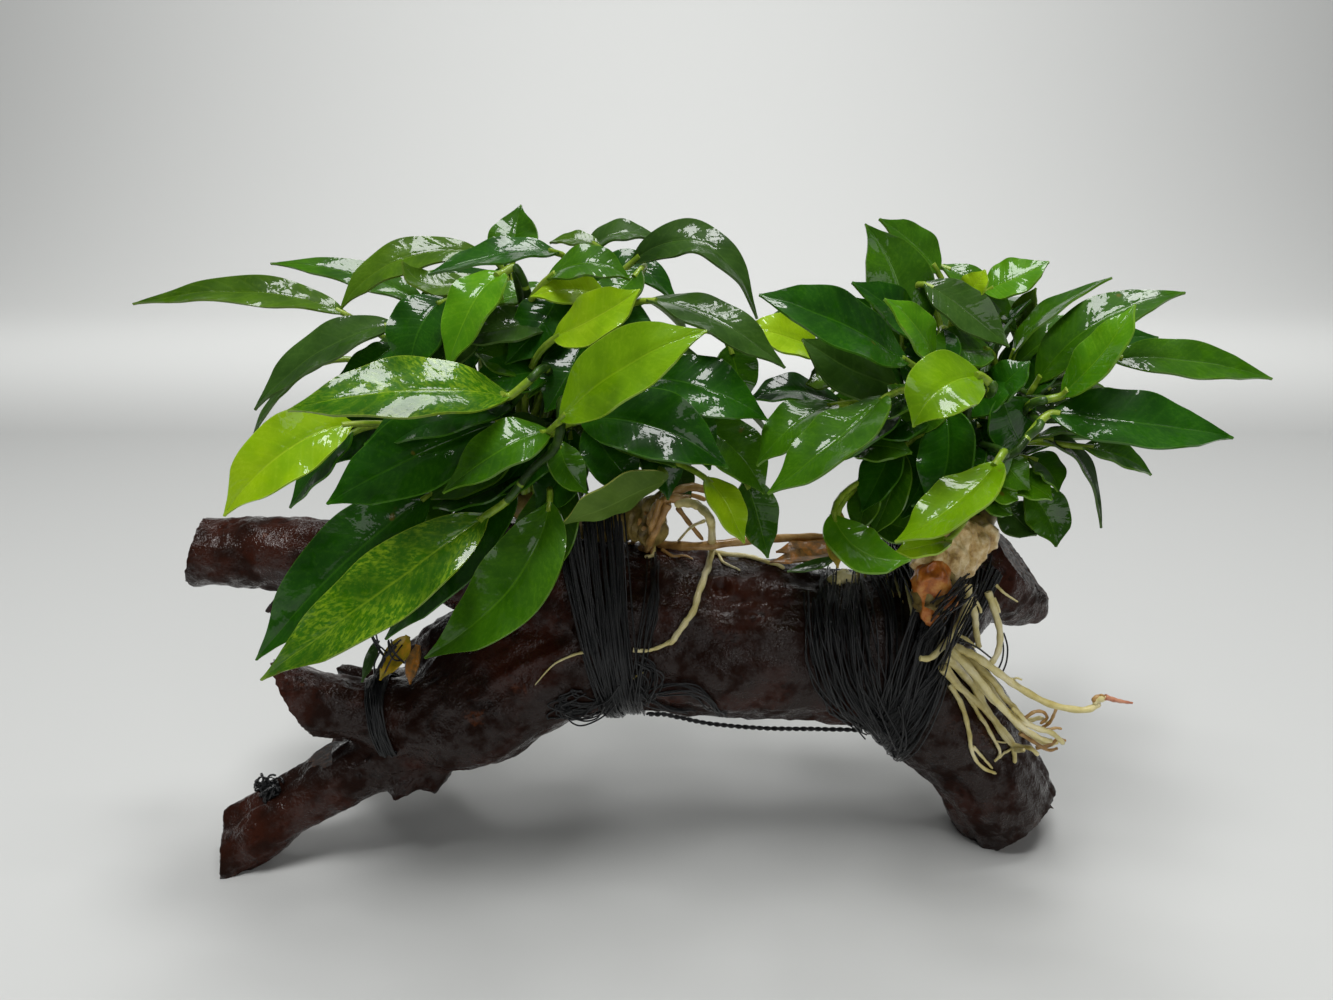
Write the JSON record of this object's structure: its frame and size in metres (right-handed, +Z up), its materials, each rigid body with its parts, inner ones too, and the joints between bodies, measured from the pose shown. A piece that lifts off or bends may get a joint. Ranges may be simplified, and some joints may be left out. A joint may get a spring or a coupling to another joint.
{
  "type": "anubias on driftwood",
  "caption": "Small anubias plants with lance-shaped leaves and cream roots, tied with black thread onto a branching piece of driftwood.",
  "frame": {"origin": "on the ground under the middle of the bounding box", "axes": "+Z up, +X to the viewer's right along the wood, -Y towards the viewer"},
  "size_m": [0.2294, 0.105, 0.1461],
  "materials": {
    "driftwood": "wet, dark reddish brown, soft gloss",
    "leaf": "wet, glossy mid to dark green leaf",
    "young_leaf": "wet, satin bright yellow-green leaf",
    "stem": "satin yellow-green stem",
    "root": "damp cream root",
    "thread": "wet black cotton",
    "dead_leaf": "dull brown remains"
  },
  "bodies": {
    "root": {"trunk": "driftwood", "upper_left_branch": "driftwood", "lower_left_limb": "driftwood", "left_leg": "driftwood", "rear_leg": "driftwood", "right_leg": "driftwood", "right_stub": "driftwood", "left_crown": "stem", "right_crown": "stem", "left_leaf_01": "young_leaf", "left_leaf_02": "leaf", "left_leaf_03": "young_leaf", "left_leaf_04": "leaf", "left_leaf_05": "leaf", "left_leaf_06": "leaf", "left_leaf_07": "leaf", "left_leaf_08": "young_leaf", "left_leaf_09": "leaf", "left_leaf_10": "leaf", "left_leaf_11": "leaf", "left_leaf_12": "leaf", "left_leaf_13": "young_leaf", "left_leaf_14": "leaf", "left_leaf_15": "leaf", "left_leaf_16": "leaf", "left_leaf_17": "leaf", "left_leaf_18": "leaf", "left_leaf_19": "leaf", "left_leaf_20": "leaf", "left_leaf_21": "leaf", "left_leaf_22": "leaf", "left_leaf_23": "leaf", "left_leaf_24": "leaf", "right_leaf_01": "young_leaf", "right_leaf_02": "young_leaf", "right_leaf_03": "young_leaf", "right_leaf_04": "leaf", "right_leaf_05": "leaf", "right_leaf_06": "young_leaf", "right_leaf_07": "leaf", "right_leaf_08": "leaf", "right_leaf_09": "young_leaf", "right_leaf_10": "leaf", "right_leaf_11": "leaf", "right_leaf_12": "leaf", "right_leaf_13": "leaf", "right_leaf_14": "leaf", "right_leaf_15": "leaf", "right_leaf_16": "leaf", "right_leaf_17": "leaf", "left_roots": "root", "right_roots": "root", "root_stub": "root", "left_wrap": "thread", "right_wrap": "thread", "stub_wrap": "thread", "thread_line": "thread", "thread_knot": "thread", "dead_leaf": "dead_leaf", "old_leaf": "dead_leaf"}
  },
  "joints": []
}
